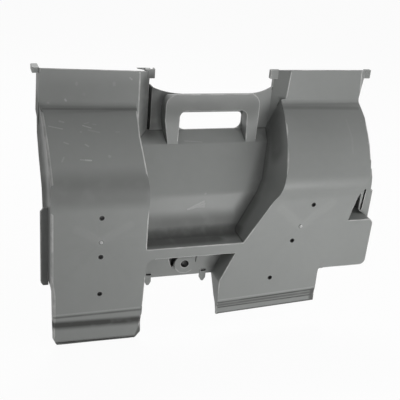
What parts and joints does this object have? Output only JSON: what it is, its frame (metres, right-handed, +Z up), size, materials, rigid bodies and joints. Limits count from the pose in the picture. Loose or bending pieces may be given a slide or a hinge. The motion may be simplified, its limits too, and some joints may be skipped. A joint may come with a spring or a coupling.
{
  "type": "fridge kick plate",
  "caption": "Moulded plastic kick plate with two hollow bellied channels, a carry handle over a deep pocket between them, a recessed screw plate, screw holes, tab and ears.",
  "frame": {"origin": "centre of the screw boss's bore at the boss's front rim, below the shelf between the two channels", "axes": "+X to the right along the plate's width seen from the front, -Y out of the front face, +Z up towards the channels' open tops"},
  "size_m": [0.5485, 0.134, 0.4171],
  "materials": {
    "plastic": "satin, lightly scuffed"
  },
  "bodies": {
    "root": {"kick_plate": "plastic"}
  },
  "joints": []
}
